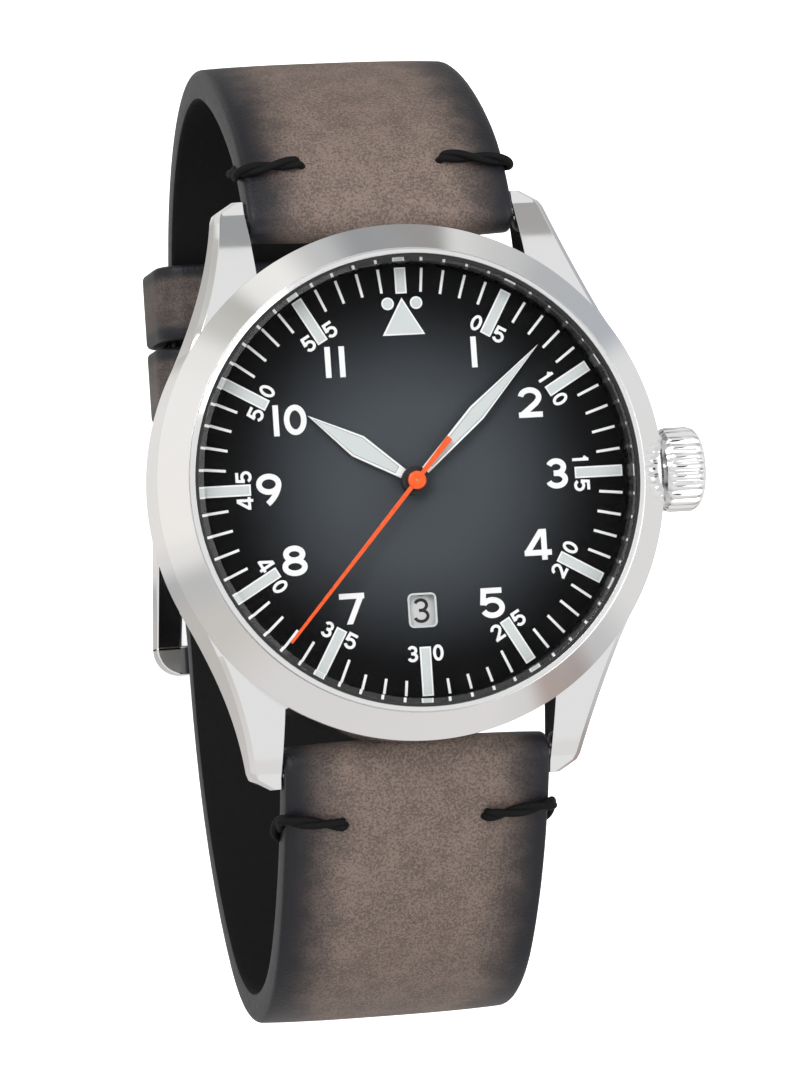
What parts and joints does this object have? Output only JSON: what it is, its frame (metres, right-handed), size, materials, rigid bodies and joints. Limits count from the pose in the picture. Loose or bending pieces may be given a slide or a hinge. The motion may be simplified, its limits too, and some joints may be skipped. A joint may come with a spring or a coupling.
{
  "type": "wristwatch",
  "caption": "Automatic pilot watch with a black dial, white bar markers, a date window, a fluted crown and a closed leather strap on a pin buckle.",
  "frame": {"origin": "centre of the case back's flat outer ring, on the axis of the hands", "axes": "+Z leaves the dial towards the viewer, +Y points to 12 o'clock, +X to the crown at 3 o'clock"},
  "size_m": [0.0447, 0.0804, 0.058],
  "materials": {
    "polished_steel": "polished",
    "satin_steel": "satin",
    "clear_glass": "polished",
    "gasket_rubber": "matt",
    "dial_black": "satin",
    "rehaut_black": "satin",
    "lume_paint": "matt",
    "white_paint": "satin",
    "orange_paint": "gloss",
    "date_grey": "matt",
    "plate_nickel": "grained",
    "gilt_brass": "polished",
    "spring_steel": "polished",
    "ruby": "polished",
    "hide": "mottled, waxed",
    "lining_hide": "matt"
  },
  "bodies": {
    "case": {"case_middle": "satin_steel", "bezel": "polished_steel", "crystal": "clear_glass", "crystal_gasket": "gasket_rubber", "rehaut_ring": "rehaut_black", "case_back": "satin_steel", "case_back_glass": "clear_glass", "case_back_gasket": "gasket_rubber", "crown_tube": "satin_steel", "movement_ring": "satin_steel", "spring_bars": "satin_steel", "dial": "dial_black", "hour_markers": "lume_paint", "mainplate": "plate_nickel", "barrel_bridge": "plate_nickel", "train_bridge": "plate_nickel", "balance_cock": "plate_nickel", "pallet_bridge": "plate_nickel", "bridge_screws": "spring_steel", "bearing_jewels": "ruby", "strap_12_leather": "hide", "strap_12_lining": "lining_hide", "strap_6_leather": "hide", "strap_6_lining": "lining_hide", "fixed_keeper": "hide", "date_jumper": "satin_steel", "rotor_bearing": "satin_steel", "hairspring": "spring_steel", "buckle_bar": "satin_steel"},
    "minute": {"cannon_pinion": "satin_steel", "minute_hand": "white_paint"},
    "hour": {"hour_wheel": "gilt_brass", "hour_hand": "white_paint"},
    "minute_wheel": {"minute_wheel": "gilt_brass"},
    "seconds": {"fourth_wheel": "gilt_brass", "second_hand": "orange_paint"},
    "centre": {"centre_wheel": "gilt_brass"},
    "third": {"third_wheel": "gilt_brass"},
    "escape": {"escape_wheel": "satin_steel"},
    "barrel": {"barrel": "gilt_brass", "barrel_cover": "gilt_brass", "mainspring": "spring_steel"},
    "date": {"date_ring": "date_grey"},
    "pallet": {"pallet_fork": "satin_steel"},
    "balance": {"balance_wheel": "gilt_brass"},
    "rotor": {"rotor": "plate_nickel"},
    "reversing": {"reversing_wheel": "gilt_brass"},
    "winding_pinion": {"winding_pinion": "satin_steel"},
    "crown": {"crown": "polished_steel", "winding_stem": "satin_steel", "crown_gasket": "gasket_rubber"},
    "sliding_pinion": {"sliding_pinion": "satin_steel"},
    "crown_wheel": {"crown_wheel": "satin_steel"},
    "ratchet": {"ratchet_wheel": "satin_steel", "barrel_arbor": "satin_steel"},
    "setting_lever": {"setting_lever": "satin_steel"},
    "yoke": {"yoke": "satin_steel"},
    "free_keeper": {"free_keeper": "hide"},
    "buckle_frame": {"buckle_frame": "polished_steel"},
    "buckle_tongue": {"buckle_tongue": "polished_steel"}
  },
  "joints": [
    {"name": "minute_turn", "type": "hinge", "parent": "case", "child": "minute", "pos_m": [0, 0, 0], "axis": [0, 0, 1], "continuous": true},
    {"name": "hour_turn", "type": "hinge", "parent": "case", "child": "hour", "pos_m": [0, 0, 0], "axis": [0, 0, 1], "continuous": true},
    {"name": "minute_wheel_turn", "type": "hinge", "parent": "case", "child": "minute_wheel", "pos_m": [0.0012, -0.00208, 0], "axis": [0, 0, 1], "continuous": true},
    {"name": "seconds_turn", "type": "hinge", "parent": "case", "child": "seconds", "pos_m": [0, 0, 0], "axis": [0, 0, 1], "continuous": true},
    {"name": "centre_turn", "type": "hinge", "parent": "case", "child": "centre", "pos_m": [0, 0, 0], "axis": [0, 0, 1], "continuous": true},
    {"name": "third_turn", "type": "hinge", "parent": "case", "child": "third", "pos_m": [-0.00337, 0.00194, 0], "axis": [0, 0, 1], "continuous": true},
    {"name": "escape_turn", "type": "hinge", "parent": "case", "child": "escape", "pos_m": [-0.00219, -0.00313, 0], "axis": [0, 0, 1], "continuous": true},
    {"name": "barrel_turn", "type": "hinge", "parent": "case", "child": "barrel", "pos_m": [0.00287, 0.00497, 0], "axis": [0, 0, 1], "continuous": true},
    {"name": "date_turn", "type": "hinge", "parent": "case", "child": "date", "pos_m": [0, 0, 0], "axis": [0, 0, 1], "continuous": true},
    {"name": "pallet_rock", "type": "hinge", "parent": "case", "child": "pallet", "pos_m": [-0.00296, -0.00498, 0], "axis": [0, 0, 1], "range_deg": [-5, 5]},
    {"name": "balance_swing", "type": "hinge", "parent": "case", "child": "balance", "pos_m": [-0.0038, -0.00701, 0], "axis": [0, 0, 1], "range_deg": [-290, 290], "stiffness_Nm_per_rad": 0.00000076},
    {"name": "rotor_turn", "type": "hinge", "parent": "case", "child": "rotor", "pos_m": [0, 0, 0], "axis": [0, 0, 1], "continuous": true},
    {"name": "reversing_turn", "type": "hinge", "parent": "case", "child": "reversing", "pos_m": [0.0026, -0.0015, 0], "axis": [0, 0, 1], "continuous": true},
    {"name": "crown_turn", "type": "hinge", "parent": "case", "child": "winding_pinion", "pos_m": [0, 0, 0.0057], "axis": [1, 0, 0], "continuous": true},
    {"name": "crown_pull", "type": "slide", "parent": "winding_pinion", "child": "crown", "axis": [1, 0, 0], "range_m": [0, 0.0009]},
    {"name": "sliding_pinion_slide", "type": "slide", "parent": "winding_pinion", "child": "sliding_pinion", "axis": [1, 0, 0], "range_m": [-0.0005, 0]},
    {"name": "crown_wheel_turn", "type": "hinge", "parent": "case", "child": "crown_wheel", "pos_m": [0.008, 0, 0], "axis": [0, 0, 1], "continuous": true},
    {"name": "ratchet_turn", "type": "hinge", "parent": "case", "child": "ratchet", "pos_m": [0.00287, 0.00497, 0], "axis": [0, 0, 1], "continuous": true},
    {"name": "setting_lever_swing", "type": "hinge", "parent": "case", "child": "setting_lever", "pos_m": [0.0112, 0.0022, 0], "axis": [0, 0, 1], "range_deg": [0, 23.6]},
    {"name": "yoke_swing", "type": "hinge", "parent": "case", "child": "yoke", "pos_m": [0.0078, -0.0029, 0], "axis": [0, 0, 1], "range_deg": [0, 9.9]},
    {"name": "free_keeper_slide", "type": "slide", "parent": "case", "child": "free_keeper", "axis": [0, 1, 0], "range_m": [0, 0.0015]},
    {"name": "buckle_frame_swing", "type": "hinge", "parent": "case", "child": "buckle_frame", "pos_m": [0, 0.0012, -0.04067], "axis": [1, 0, 0], "range_deg": [0, 8]},
    {"name": "buckle_tongue_swing", "type": "hinge", "parent": "buckle_frame", "child": "buckle_tongue", "pos_m": [0, 0.0012, -0.04067], "axis": [1, 0, 0], "range_deg": [0, 14]}
  ],
  "couplings": [
    {"joint": "hour_turn", "follows": "minute_turn", "ratio": 0.083333},
    {"joint": "minute_wheel_turn", "follows": "minute_turn", "ratio": -0.33333},
    {"joint": "third_turn", "follows": "seconds_turn", "ratio": -0.13333},
    {"joint": "centre_turn", "follows": "seconds_turn", "ratio": 0.016667},
    {"joint": "escape_turn", "follows": "seconds_turn", "ratio": -12},
    {"joint": "barrel_turn", "follows": "seconds_turn", "ratio": -0.0023148},
    {"joint": "reversing_turn", "follows": "rotor_turn", "ratio": -0.66667},
    {"joint": "sliding_pinion_slide", "follows": "crown_pull", "ratio": -0.555},
    {"joint": "setting_lever_swing", "follows": "crown_pull", "rad_per_m": 454.7},
    {"joint": "yoke_swing", "follows": "crown_pull", "rad_per_m": 191},
    {"joint": "crown_wheel_turn", "follows": "crown_turn", "ratio": 0.5},
    {"joint": "ratchet_turn", "follows": "crown_turn", "ratio": -0.25}
  ]
}
